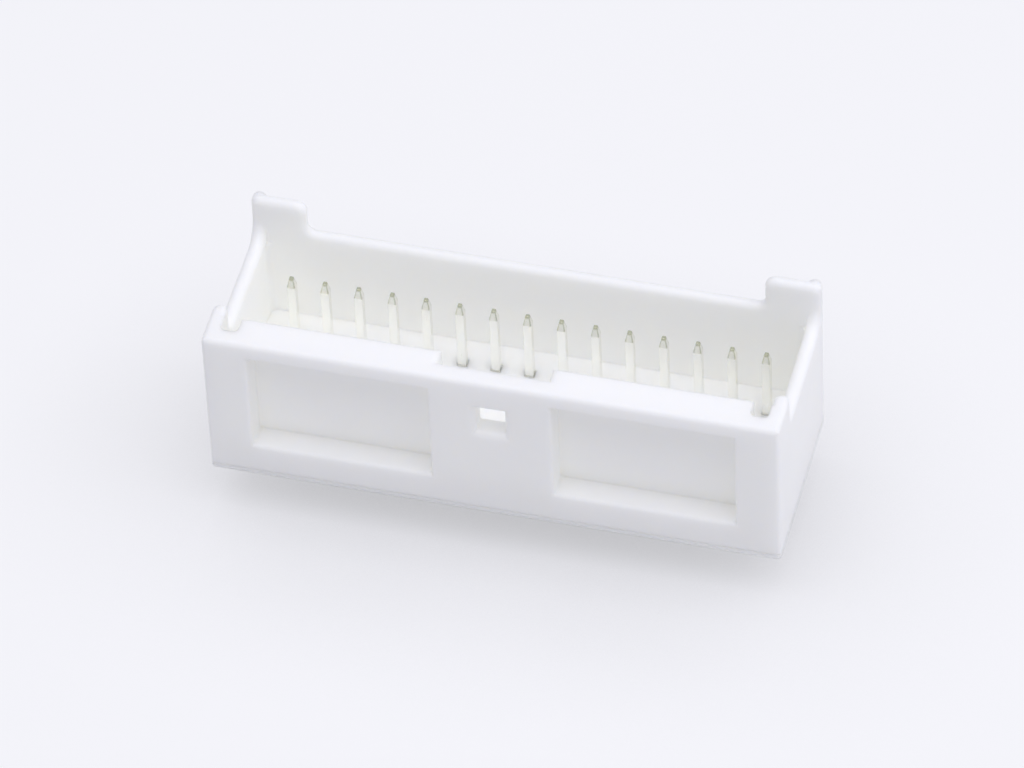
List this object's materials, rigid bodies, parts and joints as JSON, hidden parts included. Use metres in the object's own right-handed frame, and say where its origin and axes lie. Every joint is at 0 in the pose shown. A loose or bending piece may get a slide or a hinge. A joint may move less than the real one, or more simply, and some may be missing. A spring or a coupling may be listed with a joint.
{
  "type": "pin header",
  "caption": "Shrouded board header: a moulded white housing with a lock window and corner posts around a row of square pins, soldered to a circuit board to take a cable plug.",
  "frame": {"origin": "on the board plane (the housing's underside), midway along the pin row", "axes": "+X along the pin row, +Y from the lock wall to the back wall, +Z the way the plug pulls off"},
  "size_m": [0.0336, 0.0114, 0.0145],
  "materials": {
    "housing": "satin natural nylon",
    "pins": "bright tin plate over brass, bare brass at the cut tips"
  },
  "bodies": {
    "root": {"housing": "housing", "pin_1": "pins", "pin_2": "pins", "pin_3": "pins", "pin_4": "pins", "pin_5": "pins", "pin_6": "pins", "pin_7": "pins", "pin_8": "pins", "pin_9": "pins", "pin_10": "pins", "pin_11": "pins", "pin_12": "pins", "pin_13": "pins", "pin_14": "pins", "pin_15": "pins"}
  },
  "joints": []
}
